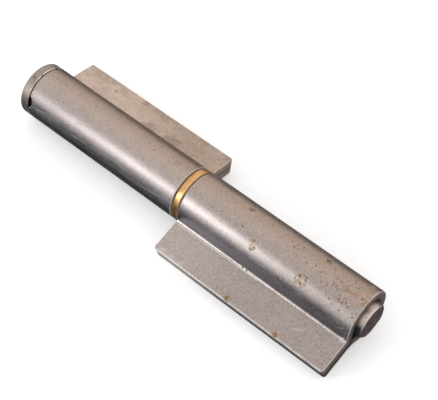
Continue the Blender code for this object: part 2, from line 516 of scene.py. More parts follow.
@dataclass(frozen=True)
class MillSteel(Finish):
    """Bare rolled steel of a knuckle: grain, clouds, drawn lines, cut faces and rubbed edges, with painted
    highlight and shade.

    Attributes:
        roll: Its colours round the barrel, each by its angle in degrees: a brown veil at the back, and painted
            highlight and painted shade where the lamp's band and the dark flank fall.
        leaf_near: Its colour on the leaf at the first station.
        leaf_far: Its colour on the leaf at the second station.
        cut_near: Colour of its cut faces at the first station.
        cut_far: Colour of its cut faces at the second station. Where the two differ, the change from light to dark
            is painted light and shade.
        near: The first station along X, towards the knuckle's inner end.
        far: The second station along X.
        out: The third station, towards the outer end.
        flank_painted_shade: How much painted shade darkens its flank from the first station to the third.
        drawn: Strength of the lines that rolling drew on the low side.
        stained: Strength of the brown blotches on the leaf.
        grainy: Strength of the grain.
        wear: Its marks.
        roughness: Middle roughness.
        blotch: Colour of the blotches.
        grease_and_shade: Colour of the dark oil and painted shade in the bore and between the plies.
        uneven: Length over which clouds shift what changes from station to station.
        flank: Angles between which the flank, where that shade is painted, begins.
        low_side: Angles between which the drawn lines begin.
        underside: Angles between which they fade again.
        relief: Depth of the grain and of the dents.
    """

    roll: Stops
    leaf_near: Colour
    leaf_far: Colour
    cut_near: Colour
    cut_far: Colour
    near: float
    far: float
    out: float
    flank_painted_shade: float
    drawn: float
    stained: float
    grainy: float
    wear: Wear
    roughness: float = 0.375
    blotch: Colour = (0.250, 0.175, 0.130)
    grease_and_shade: Colour = (0.040, 0.038, 0.036)
    uneven: float = 26 * MM
    flank: Span = (104.0, 140.0)
    low_side: Span = (146.0, 163.0)
    underside: Span = (192.0, 212.0)
    relief: float = 0.05 * MM

    def dress(self, graph: Graph) -> None:
        """Mixes the bare steel with painted highlight and shade, then lays rubbed edges with painted highlights,
        dark oil with painted shade, and wear over it.

        Args:
            graph: The material's graph.
        """
        along, _, _ = graph.axes()
        turn, leaf, rim, rub, sheared, bore, crease = (graph.paint(paint) for paint in Paint)
        clouds = graph.noise(8 * MM, 3.0)
        blotches = graph.noise(3.4 * MM, 4.0, (1.5, 1.0, 1.0), 12.5, 0.6)
        grain = graph.noise(0.62 * MM, 3.0, shift=7.7, rough=0.9)
        lines = graph.noise(0.45 * MM, 3.0, (40.0, 1.0, 1.0), 1.3, 0.7)

        shifted = along + clouds.swing(self.uneven)
        place = shifted.step(self.near, self.far)
        on_leaf = graph.blend(place, self.leaf_near, self.leaf_far)
        # Colours round the barrel by angle: a brown veil at the back, painted highlight in the lamp's band and
        # painted shade down the flank.
        barrel_with_painted_light = graph.ramp(turn, tuple((turned(degrees), colour) for degrees, colour in self.roll))
        stain = (blotches + rim * 0.15).step(0.56, 0.70) * leaf * self.stained
        colour = graph.blend(stain, graph.blend(leaf, barrel_with_painted_light, on_leaf), self.blotch)
        low = turn.step(*turned(self.low_side))
        mottled = leaf * self.stained + low * 0.35 + 0.12
        below = leaf | turn.step(*turned(self.underside))
        low = low * (1.0 - below * 0.85) * self.drawn + 0.10
        tone = (1.0 + grain.swing(self.grainy) + clouds.swing(mottled) + blotches.swing(mottled)
                + lines.swing(low))
        # Painted shade: the flank darkens from the first station towards the third.
        flank = turn.step(*turned(self.flank)) * (1.0 - leaf)
        tone = tone * (1.0 - flank * shifted.step(self.near, self.out) * self.flank_painted_shade)
        # Cut faces change colour along X; on the lower knuckle, light near the inner end and dark towards the
        # outer, as painted light and shade.
        cut = graph.blend(along.step(self.near, self.far), self.cut_near, self.cut_far)
        colour = graph.shade(tone, graph.blend(sheared, colour, cut))
        colour = graph.tinted(graph.noise(1.7 * MM, shift=3.1).step(0.35, 0.65), colour)

        # Rubbed edges with a painted highlight on them, and a painted highlight along the crease.
        patchy = blotches.step(0.34, 0.58) * 0.6 + grain.step(0.30, 0.60) * 0.4
        bright = rub * (patchy * 0.6 + 0.4) | crease * (patchy * 0.55)
        colour = graph.blend(bright, colour, MarkColour.BRIGHT.value)
        first, last = TURN_RANGE
        # Dark oil and painted shade in the bore and in the gap between the plies.
        between = turn.step(*turned((first + 4, first))) | turn.step(*turned((last - 4, last)))
        grease_and_shade_mask = bore * 0.9 | between * leaf * sheared * place * 0.8
        colour, covered = self.wear.lay(graph, graph.blend(grease_and_shade_mask, colour, self.grease_and_shade))
        roughness = (self.roughness + clouds.swing(0.10) + grain.swing(0.36 * self.grainy)
                     + covered * 0.30 + sheared * 0.20 - bright * 0.12)
        metallic = 1.0 - (covered * 0.85 | sheared * 0.8 | rub * 0.8 | bore * 0.8)
        dents = graph.bump(graph.noise(3.2 * MM, shift=5.5), self.relief)
        graph.finish(colour, roughness, metallic, graph.bump(grain + lines.swing(low), self.relief, dents))


@dataclass(frozen=True)
class CapSteel(Finish):
    """Turned steel of the cap: dull and brownish, rubbed along its seat with a painted highlight, painted black
    with shade inside the bore.

    Attributes:
        seat: Station along X of its seat on the knuckle.
        height: Height of the axis.
        wear: Its marks.
        grease_and_shade: Its colour inside the bore: black, painted shade.
        line: Distance between turning lines.
    """

    seat: float
    height: float
    wear: Wear
    base: Colour = (0.440, 0.360, 0.310)
    grease_and_shade: Colour = (0.012, 0.012, 0.012)
    line: float = 0.22 * MM

    def dress(self, graph: Graph) -> None:
        """Mixes the turned steel, then paints a highlight on its rubbed seat's edge and paints its spigot black as
        shade.

        Args:
            graph: The material's graph.
        """
        along, _, _ = graph.axes()
        clouds = graph.noise(4.5 * MM, 3.0, shift=2.0)
        grain = graph.noise(1.0 * MM, 3.0, shift=7.7, rough=0.65)
        rings = graph.rings(self.height, self.line)
        tone = 1.0 + grain.swing(0.40) + clouds.swing(0.36) + rings.swing(0.12)
        colour = graph.tinted(clouds.step(0.35, 0.65), graph.shade(tone, self.base))
        # Rubbed seat edge with a painted highlight on it.
        bright = along.near(self.seat - 0.2 * MM, 0.55 * MM, 0.15 * MM)
        bright = bright * graph.noise(2.4 * MM, shift=11.0).step(0.46, 0.58) * 0.8
        colour, covered = self.wear.lay(graph, graph.blend(bright, colour, MarkColour.BRIGHT.value))
        # Painted shade: the spigot inside the bore is painted black.
        inside = along.step(self.seat - 0.10 * MM, self.seat - 0.02 * MM)
        colour = graph.blend(inside, colour, self.grease_and_shade)
        roughness = 0.47 + clouds.swing(0.16) + grain.swing(0.26) + covered * 0.2
        metallic = 1.0 - (covered * 0.8 | inside * 0.9 | bright * 0.4)
        dents = graph.bump(clouds, 0.05 * MM)
        graph.finish(colour, roughness, metallic, graph.bump(grain + rings * 0.4, 0.035 * MM, dents))


@dataclass(frozen=True)
class TurnedBrass(Finish):
    """Brass with turning lines, dark tarnish along its edges and a rubbed streak with a painted highlight beside
    one.

    Attributes:
        start: Station of the ring's more tarnished edge along X.
        end: Station of its rubbed edge, which carries the painted highlight.
    """

    start: float
    end: float
    base: Colour = (0.810, 0.415, 0.110)
    tarnish: Colour = (0.260, 0.105, 0.030)
    # The rubbed streak's colour is light enough to paint a highlight there too.
    rubbed: Colour = (0.860, 0.660, 0.420)

    def dress(self, graph: Graph) -> None:
        """Mixes the brass, then tarnishes its edges and lays a rubbed streak with a painted highlight beside one,
        under a clear gloss.

        Args:
            graph: The material's graph.
        """
        along, _, _ = graph.axes()
        clouds = graph.noise(2.2 * MM, 3.0)
        lines = graph.noise(0.16 * MM, 2.0, (1.0, 200.0, 200.0), 4.0)
        wander = clouds.swing(0.5 * MM)
        dark = (along + wander).step(self.start + 0.95 * MM, self.start + 0.30 * MM)
        dark = dark | (along - wander).step(self.end - 0.50 * MM, self.end - 0.10 * MM) * 0.8
        # Rubbed streak beside the end edge, light as a painted highlight there too.
        light = (along + wander).near(self.end - 0.55 * MM, 0.40 * MM, 0.05 * MM)
        light = light * graph.noise(4.0 * MM, 1.0, shift=6.6).step(0.40, 0.60)
        tone = 1.0 + clouds.swing(0.40) + lines.swing(0.30)
        colour = graph.blend(light * 0.8, graph.shade(tone, self.base), self.rubbed)
        colour = graph.blend(dark * 0.85, colour, self.tarnish)
        roughness = 0.33 + clouds.swing(0.20) + dark * 0.15
        graph.settle(Coat_Weight=1.0, Coat_Roughness=0.20, Coat_IOR=1.6)
        graph.finish(colour, roughness, 1.0 - dark * 0.3, graph.bump(lines + clouds, 0.012 * MM))


@dataclass(frozen=True)
class BeatenSteel(Finish):
    """Steel of the pin: beaten at its end, rubbed along its shoulder with a painted highlight, and painted dark,
    as oil and shade, towards the leaf and inside the mouth.

    Attributes:
        end: Station of its free end along X.
        mouth: Station of the knuckle's outer end, inside which it is painted dark, as oil and shade.
        height: Height of the axis.
        face: Radius of its end face.
        end_tint: Colour of its end face.
        oiled: Colour of the shank, which is kept clean by the bore that runs on it.
        shank: How far inside the mouth the shank begins, and is clean.
        beside: Places along Y between which the dark oil and painted shade beside the leaf begin.
        shoulder: Heights over the axis between which the rubbed shoulder and its painted highlight begin.
    """

    end: float
    mouth: float
    height: float
    face: float
    base: Colour = (0.550, 0.435, 0.390)
    end_tint: Colour = (0.150, 0.108, 0.104)
    grease_and_shade: Colour = (0.016, 0.021, 0.023)
    oiled: Colour = (0.480, 0.435, 0.405)
    shank: Span = (8 * MM, 13 * MM)
    beside: Span = (-4.9 * MM, -5.9 * MM)
    shoulder: Span = (1.2 * MM, 3.2 * MM)

    def dress(self, graph: Graph) -> None:
        """Mixes side, end face and shank, then paints a highlight on the rubbed shoulder and paints what lies
        inside dark, as oil and shade.

        Args:
            graph: The material's graph.
        """
        along, across, up = graph.axes()
        clouds = graph.noise(2.4 * MM, 3.0)
        grain = graph.noise(0.8 * MM, 3.0, shift=3.0, rough=0.7)
        wander = clouds.swing(1.6 * MM)
        radius = graph.off_axis(self.height)
        face = (radius + wander * 0.3).step(self.face + 0.25 * MM, self.face - 0.15 * MM)
        face = face * along.step(self.end - 0.9 * MM, self.end - 0.6 * MM)
        tone = 1.0 + clouds.swing(1.7) + grain.swing(0.9)
        shank = along.step(*(self.mouth - depth for depth in self.shank))
        base = graph.blend(shank, graph.blend(face, self.base, self.end_tint), self.oiled)
        colour = graph.shade(tone * (1.0 - shank * 0.6) + shank * 0.6, base)
        # Rubbed shoulder, on the upper side only: a painted highlight on rubbed metal.
        rub = (radius + wander * 0.2).near(self.face + 0.25 * MM, 0.32 * MM, 0.08 * MM)
        rub = rub * up.step(*(self.height + over for over in self.shoulder)) * clouds.step(0.38, 0.52)
        colour = graph.blend(rub * 0.9, colour, MarkColour.BRIGHT.value)
        # Dark inside the mouth and on the side beside the leaf: oil and painted shade.
        inside = (along + wander).step(self.mouth + 0.3 * MM, self.mouth - 0.5 * MM) * (1.0 - shank)
        beside = (across - wander).step(*self.beside) * (1.0 - face)
        grease_and_shade_mask = inside | beside * along.step(self.end - 0.2 * MM, self.end - 0.9 * MM)
        roughness = 0.40 + clouds.swing(0.3) + face * 0.12 - shank * 0.08
        metallic = 1.0 - (grease_and_shade_mask * 0.9 | face * 0.6 | rub * 0.4)
        beaten = graph.bump(clouds, 0.14 * MM)
        graph.finish(graph.blend(grease_and_shade_mask, colour, self.grease_and_shade), roughness, metallic,
                     graph.bump(grain, 0.03 * MM, beaten))


# Surfaces


def surface_mesh(name: str, loops: Array, ring: bool = False,
                 paints: dict[Paint, Array] | None = None) -> bpy.types.Mesh:
    """Joins closed loops into one closed, outward-facing skin.

    The surface is a function of two parameters on a grid: the row says which loop a point is on and
    the column how far round it. Each cell of the grid is a quad and the last column joins the first.
    In a ring the last row joins the first too, and otherwise a flat cap closes either end.

    Args:
        name: The mesh's name.
        loops: Points as (row, column, 3).
        ring: Whether the surface is closed both ways.
        paints: Values that the mesh carries, each as (row, column).

    Returns:
        The mesh, shaded smooth, with sharp corners kept.
    """
    rows, columns = loops.shape[:2]
    row, column = np.meshgrid(np.arange(rows if ring else rows - 1), np.arange(columns), indexing="ij")
    beyond, beside = (row + 1) % rows, (column + 1) % columns
    cells = np.stack([row * columns + column, row * columns + beside, beyond * columns + beside,
                      beyond * columns + column], axis=-1)
    faces = cells.reshape(-1, 4).tolist()
    if not ring:
        first, last = range(columns - 1, -1, -1), range((rows - 1) * columns, rows * columns)
        faces += [list(first), list(last)]
    mesh = bpy.data.meshes.new(name)
    mesh.from_pydata(loops.reshape(-1, 3).tolist(), [], faces)
    skin = bmesh.new()
    skin.from_mesh(mesh)
    bmesh.ops.recalc_face_normals(skin, faces=skin.faces)
    skin.to_mesh(mesh)
    skin.free()
    mesh.shade_smooth()
    for cap in () if ring else (-1, -2):
        mesh.polygons[cap].use_smooth = False
    mesh.set_sharp_from_angle(angle=SHARP)
    for paint, values in (paints or {}).items():
        layer = mesh.attributes.new(paint.value, "FLOAT", "POINT")
        layer.data.foreach_set("value", np.broadcast_to(values, (rows, columns)).astype(np.float32).ravel())
    return mesh


def turned_loops(profile: Array, steps: int) -> Array:
    """Turns a profile about the line Y = Z = 0.

    Point (x, r) of the profile goes to x, r times the cosine and r times the sine of the turn.

    Args:
        profile: Stations and radii as (point, 2).
        steps: Number of points round.

    Returns:
        Loops as (profile point, step, 3), still to be lifted to the barrel's height.
    """
    circle = ray(np.linspace(0.0, 2 * np.pi, steps, endpoint=False))
    station = np.broadcast_to(profile[:, :1, None], (len(profile), steps, 1))
    return np.concatenate([station, profile[:, 1:, None] * circle], axis=-1)


def rounded(corner: Span, radius: float, start: float, end: float, steps: int) -> Array:
    """Points on a rounding: its centre plus the radius times the cosine and sine of an angle.

    Args:
        corner: Centre of the rounding.
        radius: Its radius.
        start: First angle in degrees.
        end: Last angle in degrees.
        steps: Number of steps.

    Returns:
        Points as (steps + 1, 2).
    """
    return np.array(corner) + radius * ray(np.radians(np.linspace(start, end, steps + 1)))


def waves(along: Array, across: Array, size: float, seed: int, count: int = 7) -> Array:
    """Gentle unevenness from -1 to 1: the mean of a few plane waves of random direction and phase.

    Args:
        along: First coordinate, in metres.
        across: Second coordinate, in metres.
        size: Middle wavelength, in metres.
        seed: Seed of the random numbers.
        count: Number of waves.

    Returns:
        The unevenness at each point.
    """
    random = np.random.default_rng(seed)
    total = np.zeros(np.broadcast(along, across).shape)
    for _ in range(count):
        heading, phase = random.uniform(0.0, 2 * np.pi, 2)
        number = 2 * np.pi / (size * random.uniform(0.6, 1.6))
        total = total + np.sin(number * (along * np.cos(heading) + across * np.sin(heading)) + phase)
    return total / count


def show(name: str, mesh: bpy.types.Mesh, material: bpy.types.Material, node: str, body: Body) -> bpy.types.Object:
    """Puts a piece into the scene in place of a node of the frame.

    Args:
        name: The piece's name.
        mesh: Its mesh, with its place in it.
        material: Its material.
        node: The node that it stands for.
        body: The body that it moves with.

    Returns:
        The piece.
    """
    mesh.materials.append(material)
    piece = bpy.data.objects.new(name, mesh)
    bpy.context.scene.collection.objects.link(piece)
    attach(piece, body.value)
    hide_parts(node)
    LOG.info("%s: %d faces, in place of %s", name, len(mesh.polygons), node)
    return piece


# Sub-assemblies


@dataclass(frozen=True)
class Barrel:
    """The line that everything turns about, read from the frame."""

    radius: float
    height: float

    @classmethod
    def from_frame(cls) -> "Barrel":
        """Measures the end cap, which is as wide as the barrel."""
        low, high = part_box("end_cap")
        return cls((high.z - low.z) / 2, (high.z + low.z) / 2)

    def point(self, station: float, degrees: float, radius: float | None = None) -> Place:
        """Finds a point round the axis.

        Args:
            station: Its place along X.
            degrees: Its angle.
            radius: Its distance from the axis, which is the barrel's radius unless it is given.

        Returns:
            The point.
        """
        reach = self.radius if radius is None else radius
        turn = math.radians(degrees)
        return station, reach * math.cos(turn), self.height + reach * math.sin(turn)


@dataclass
class Knuckle:
    """One folded half: a strip rolled round the bore, with both ends out flat as a two-ply leaf.

    Attributes:
        side: 1 where the leaf points towards +Y and -1 where it points towards -Y.
        drop: How far the joint of the plies lies below the axis, in the leaf's own plane.
        end_turns: Angles of the first and last row on the quarter circle at a ply's outer end.
        end_shares: Shares of the thickness that the rows on the flat end face span, from its middle.
        waviness: Size and share of each layer of unevenness.
        leaf_gone: How far the strip has bent, from 0 to 1, where nothing is left of the leaf's colour.
        leaf_fade: How much of the bend that colour takes to fade.
        crease_highlight_at: How far the strip has bent where the painted highlight along the crease is brightest.
        crease_highlight_width: How much of the bend that painted highlight takes.
        lower_ply_rub: How rubbed the lower ply's end is, with its painted highlight, against the upper ply's.
        side_rub: How rubbed the strip's two long edges are, with a painted highlight on them.
        outer_rub: What is added to that at the barrel's outer end.
    """

    node: str
    body: Body
    side: float
    barrel: Barrel
    notched: bool = False
    sheet: float = 3.0 * MM
    ply_gap: float = 0.3 * MM
    reach: float = 22.5 * MM
    drop: float = 2.15 * MM
    crease_radius: float = 1.5 * MM
    sweep_radius: float = 6.0 * MM
    edge_radius: float = 0.34 * MM
    ply_edge: float = 0.35 * MM
    corner_radius: float = 0.9 * MM
    rim_width: float = 5.0 * MM
    notch_radius: float = 2.7 * MM
    notch_depth: float = 1.5 * MM
    unevenness: float = 0.03 * MM
    waviness: tuple[Span, ...] = ((17 * MM, 1.0), (5 * MM, 0.25))
    end_turns: Span = (6.0, 90.0)
    end_shares: Span = (0.05, 0.92)
    leaf_gone: float = 0.80
    leaf_fade: float = 0.35
    crease_highlight_at: float = 0.38
    crease_highlight_width: float = 0.10
    lower_ply_rub: float = 0.25
    side_rub: float = 1.3
    outer_rub: float = 0.0
    seed: int = 1
    crease_steps: int = 24
    barrel_steps: int = 200
    sweep_steps: int = 18
    ply_steps: int = 16
    end_steps: int = 7
    long_steps: int = 73
    short_steps: int = 5
    start: float = field(init=False)
    end: float = field(init=False)

    def __post_init__(self) -> None:
        """Reads the half's two ends from the frame."""
        low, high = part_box(self.node)
        self.start, self.end = low.x, high.x

    @property
    def top(self) -> float:
        """Level of the leaf's upper face over the barrel's axis, in the leaf's own plane."""
        return self.sheet + self.ply_gap / 2 - self.drop

    @property
    def bottom(self) -> float:
        """Level of the leaf's lower face."""
        return -self.sheet - self.ply_gap / 2 - self.drop

    @property
    def tilt(self) -> float:
        """How far the leaf slopes down when barrel and leaf rest on one plane, in radians."""
        far = math.hypot(self.reach, self.bottom)
        return math.asin(self.barrel.radius / far) - math.atan2(-self.bottom, self.reach)

    def bend_centre(self, radius: float, level: float, way: int) -> Span:
        """Centre of a bend that touches both the barrel and a face of the leaf.

        Args:
            radius: The bend's outside radius.
            level: Level of the leaf's face.
            way: 1 for a bend over the face and -1 for one under it.

        Returns:
            Its place in the leaf's plane.
        """
        up = level + way * radius
        return math.sqrt((self.barrel.radius + radius) ** 2 - up ** 2), up

    def leaned(self, out: float | Array, up: float | Array) -> tuple[float | Array, float | Array]:
        """Turns places or directions of the leaf's own plane into Y and Z, seen from the axis."""
        cosine, sine = math.cos(self.tilt), math.sin(self.tilt)
        return self.side * (out * cosine + up * sine), up * cosine - out * sine

    def bends(self) -> tuple[Span, Span, float, float]:
        """Works out the two bends between barrel and leaf.

        Returns:
            Centres of the crease and of the sweep, and the turns at which they meet the barrel.
        """
        crease = self.bend_centre(self.crease_radius, self.top, 1)
        sweep = self.bend_centre(self.sweep_radius, self.bottom, -1)
        return crease, sweep, math.atan2(crease[1], crease[0]), math.atan2(sweep[1], sweep[0]) + 2 * math.pi

    def path(self) -> tuple[Array, Array, Array, Array]:
        """Middle line of the strip, from ply end to ply end.

        The line is a straight, the crease's arc, the barrel's arc, the sweep's arc and a straight,
        each tangent to the next. Its outward direction points away from the barrel's axis or, in
        the bends, towards their centres.

        Returns:
            Points as (row, 2), outward directions as (row, 2), how far the line has bent from the
            leaf to the barrel, from 0 to 1, and the share of the sheet's thickness that a row spans,
            which grows from the middle of the flat end face, both as (row,).
        """
        crease, sweep, crease_turn, sweep_turn = self.bends()
        half = self.sheet / 2
        shares = self.ply_stations()
        ply = self.reach - shares * (self.reach - crease[0])
        lines = [np.stack([ply, np.full_like(ply, self.top - half)], axis=-1)]
        outward = [np.tile((0.0, 1.0), (len(ply), 1))]
        bent = [np.zeros_like(ply)]
        for centre, radius, first, last, steps, way, bent_from, bent_to in (
                (crease, self.crease_radius + half, -math.pi / 2, crease_turn - math.pi, self.crease_steps,
                 -1, 0, 1),
                ((0.0, 0.0), self.barrel.radius - half, crease_turn, sweep_turn, self.barrel_steps, 1, 1, 1),
                (sweep, self.sweep_radius + half, sweep_turn - math.pi, math.pi / 2, self.sweep_steps,
                 -1, 1, 0)):
            away = ray(np.linspace(first, last, steps + 1)[1:])
            lines.append(np.array(centre) + radius * away)
            outward.append(way * away)
            bent.append(np.linspace(bent_from, bent_to, steps + 1)[1:])
        ply = self.reach - shares[::-1][1:] * (self.reach - sweep[0])
        lines.append(np.stack([ply, np.full_like(ply, self.bottom + half)], axis=-1))
        outward.append(np.tile((0.0, -1.0), (len(ply), 1)))
        bent.append(np.zeros_like(ply))
        growing = np.linspace(*self.end_shares, self.end_steps)
        count = sum(map(len, bent))
        rows = np.pad(np.arange(count), self.end_steps, "edge")
        share = np.concatenate([growing, np.ones(count), growing[::-1]])
        return tuple(np.concatenate(parts)[rows] for parts in (lines, outward, bent)) + (share,)

    def ply_stations(self) -> Array:
        """Places the rows along a ply, close together on the quarter circle at its outer end.

        Returns:
            Shares of the ply's length.
        """
        length = self.reach - self.bends()[0][0]
        edge = self.ply_edge * (1 - np.cos(np.radians(np.linspace(*self.end_turns, self.end_steps))))
        return np.concatenate([edge, np.linspace(self.corner_radius, length, self.ply_steps)]) / length

    def section(self) -> tuple[Array, Array]:
        """Cross-section of the strip, a long rectangle with rounded corners.

        Each side is a straight that faces one way, and the next corner is an arc of a quarter turn
        from there. A point is its side's or its corner's core plus the edge's radius outwards.

        Returns:
            Station and level of each point, and its direction out of the strip, both as (column, 2).
        """
        half = np.array([(self.end - self.start) / 2, self.sheet / 2]) - self.edge_radius
        cores, directions = [], []
        for facing, steps in ((90, self.long_steps), (0, self.short_steps), (-90, self.long_steps),
                              (-180, self.short_steps)):
            out = ray(math.radians(facing)).round()
            onward = np.array([out[1], -out[0]])
            corner = (out + onward) * half
            turn = np.radians(np.linspace(facing, facing - 90, self.end_steps))[1:-1]
            cores += [np.linspace((out - onward) * half, corner, steps), np.tile(corner, (len(turn), 1))]
            directions += [np.tile(out, (steps, 1)), ray(turn)]
        direction = np.concatenate(directions)
        middle = ((self.start + self.end) / 2, 0.0)
        return np.concatenate(cores) + self.edge_radius * direction + middle, direction

    def loops(self) -> Array:
        """The half's whole surface, in the hinge's frame.

        The section is carried along the path. Near a ply's outer end it thins on a quarter circle,
        which rounds the edge, and its length shrinks on a larger one, which rounds the corners in
        plan. The notch draws the edge in by the depth of a circle over the distance from its middle.

        Returns:
            Points as (row, column, 3).
        """
        line, outward, _, share = self.path()
        section, _ = self.section()
        from_end = self.from_end(line, outward)
        thinned = (share * (1.0 - self.quarter(from_end, self.ply_edge) / (self.sheet / 2)))[:, None]
        station = np.broadcast_to(section[:, 0], (len(line), len(section)))
        level = thinned * section[:, 1]
        drawn_in = self.quarter(from_end, self.corner_radius)[:, None]
        station = station + drawn_in * (self.pull(station - self.start) - self.pull(self.end - station))
        walked = np.concatenate([[0.0], np.cumsum(np.linalg.norm(np.diff(line, axis=0), axis=1))])[:, None]
        for layer, (size, strength) in enumerate(self.waviness):
            level = level + strength * self.unevenness * waves(station, walked, size, self.seed + layer)
        out = line[:, :1] + level * outward[:, :1]
        up = line[:, 1:] + level * outward[:, 1:]
        if self.notched:
            station = station + self.notch(out, up) * self.pull(station - self.start)
        return np.stack([station, *self.leaned(out, up)], axis=-1) + (0.0, 0.0, self.barrel.height)

    def paints(self) -> dict[Paint, Array]:
        """What the steel needs to know at each point.

        The turn is the angle that the outer face looks towards, without a jump along the path. The
        leaf fades out in the bends. The rim grows over the last stretch of a ply. A cut face is the
        square of the share by which the section or the ply's end looks sideways, and a rubbed edge with
        its painted highlight is twice the product of that share and the rest, so it is strongest in the
        middle of a rounded edge. The upper ply's whole end face is rubbed and painted light too, the lower
        ply's less, and the half's outer edge as much more as its own value says. The painted highlight
        along the crease is a bell over its bend.

        Returns:
            Values by paint, each as (row, column) or a shape that spreads to it.
        """
        line, outward, bent, share = self.path()
        _, direction = self.section()
        across, upward = self.leaned(*outward.T)
        turn = np.degrees(np.unwrap(np.arctan2(upward, across)))
        from_end = self.from_end(line, outward)
        over_end = self.share(1.0 - from_end / self.ply_edge)
        # Rubbed ply ends with a painted highlight, lighter on the upper ply than on the lower.
        end_rub_and_highlight = np.where(over_end > 0.7, 0.85 + 0.15 * share, 2 * over_end * np.sqrt(1 - over_end ** 2))
        aside, outer = np.abs(direction[:, 0]), self.share(direction[:, 1])
        to_outer_end = self.share(-self.side * direction[:, 0])
        # Painted highlight along the crease.
        bell = np.exp(-((bent - self.crease_highlight_at) / self.crease_highlight_width) ** 2)
        upper_ply = np.arange(len(line)) < len(line) // 2
        end_rub_and_highlight = end_rub_and_highlight * np.where(upper_ply, 1.0, self.lower_ply_rub)
        return {
            Paint.TURN: turned(turn)[:, None],
            Paint.LEAF: self.share((self.leaf_gone - bent) / self.leaf_fade)[:, None],
            Paint.RIM: self.share(1.0 - from_end / self.rim_width)[:, None],
            Paint.SHEARED: np.maximum(over_end[:, None] ** 2, aside ** 2),
            # Rubbed edges with a painted highlight.
            Paint.RUB: np.maximum(end_rub_and_highlight[:, None] * (1 - aside),
                                  (self.side_rub * aside + self.outer_rub * to_outer_end) * outer),
            # The bore's inner face, which the steel paints dark as oil and shade.
            Paint.BORE: self.share(-direction[:, 1]) * ((over_end < 0.5) | (share > 0.75))[:, None],
            # Painted highlight along the crease, on the upper ply's side.
            Paint.CREASE: (bell * upper_ply)[:, None] * outer,
        }

    @staticmethod
    def share(value: Array) -> Array:
        """The value kept between 0 and 1."""
        return np.clip(value, 0.0, 1.0)

    @staticmethod
    def from_end(line: Array, outward: Array) -> Array:
        """Distance from a ply's outer end at each row, and infinity where the strip isn't straight."""
        straight = np.abs(outward[:, 0]) < 1e-9
        return np.where(straight, np.clip(line[:, 0].max() - line[:, 0], 0.0, None), np.inf)

    @staticmethod
    def quarter(distance: Array, radius: float) -> Array:
        """How far a quarter circle has drawn an edge in, at a distance from its end."""
        short = np.clip(radius - distance, 0.0, radius)
        return radius - np.sqrt(radius ** 2 - short ** 2)

    @classmethod
    def pull(cls, distance: Array, hold: float = 0.5 * MM, fade: float = 6.0 * MM) -> Array:
        """Share of an end's shift that a point takes: all of it near the end, none past the fade."""
        return cls.share(1.0 - (distance - hold) / (fade - hold))

    def notch_turn(self) -> float:
        """Finds the strip's middle, half its flat length from either ply end.

        Returns:
            Its turn in radians, in the leaf's own plane.
        """
        crease, sweep, crease_turn, sweep_turn = self.bends()
        half = self.sheet / 2
        roll = self.barrel.radius - half
        upper = self.reach - crease[0] + (self.crease_radius + half) * (math.pi / 2 - crease_turn)
        lower = self.reach - sweep[0] + (self.sweep_radius + half) * (sweep_turn - 1.5 * math.pi)
        return crease_turn + (roll * (sweep_turn - crease_turn) + lower - upper) / 2 / roll

    def notch(self, out: Array, up: Array) -> Array:
        """Works out the half-moon's depth: a circle's half chord, less its centre's offset.

        Args:
            out: First coordinate of each point in the leaf's own plane.
            up: Second coordinate.

        Returns:
            The depth at each point.
        """
        turn = self.notch_turn()
        sideways = up * math.cos(turn) - out * math.sin(turn)
        facing = out * math.cos(turn) + up * math.sin(turn) > 0
        chord = np.sqrt(np.maximum(self.notch_radius ** 2 - sideways ** 2, 0.0))
        return np.where(facing, np.maximum(chord - self.notch_radius + self.notch_depth, 0.0), 0.0)

    def from_inner(self, station: float) -> float:
        """Place along X of a station in millimetres from the half's inner end."""
        return self.start + station * MM if self.side < 0 else self.end - station * MM

    def round_at(self, station: float, degrees: float) -> Place:
        """A point on the barrel, at a station in millimetres from the inner end and an angle."""
        return self.barrel.point(self.from_inner(station), degrees)

    def leaf_at(self, station: float, out: float) -> Place:
        """A point on the leaf's upper face, by millimetres from the inner end and from the axis."""
        across, up = self.leaned(out * MM, self.top)
        return self.from_inner(station), across, up + self.barrel.height

    def build(self, name: str, finish: MillSteel) -> None:
        """Makes the half and puts it into the scene.

        Args:
            name: The piece's name.
            finish: Its steel.
        """
        mesh = surface_mesh(name, self.loops(), paints=self.paints())
        show(name, mesh, finish.material(name + "_steel"), self.node, self.body)


@dataclass
class TurnedPiece:
    """A piece turned about the barrel's axis, read from a node of the frame.

    A ring's profile is closed. Any other piece's is open, and a flat cap closes it at either end.
    """

    node: str
    body: Body
    slot: Slot
    barrel: Barrel
    steps: int = 160
    ring: bool = False
    start: float = field(init=False)
    end: float = field(init=False)
    radius: float = field(init=False)

    def __post_init__(self) -> None:
        """Reads the piece's ends and radius from the frame."""
        low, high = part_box(self.node)
        self.start, self.end = low.x, high.x
        self.radius = (high.z - low.z) / 2

    def profile(self) -> Array:
        """Stations and radii of the piece's outline."""
        raise NotImplementedError

    def worn(self, loops: Array) -> Array:
        """The loops with the piece's dents in them, which are none unless a piece has its own."""
        return loops

    def build(self, name: str, finish: Finish, material: str) -> None:
        """Makes the piece and puts it into the scene.

        Args:
            name: The piece's name.
            finish: What it is made of.
            material: The material's name.
        """
        loops = self.worn(turned_loops(self.profile(), self.steps)) + (0.0, 0.0, self.barrel.height)
        mesh = surface_mesh(name, loops, self.ring)
        show(name, mesh, finish.material(material), self.node, self.body)


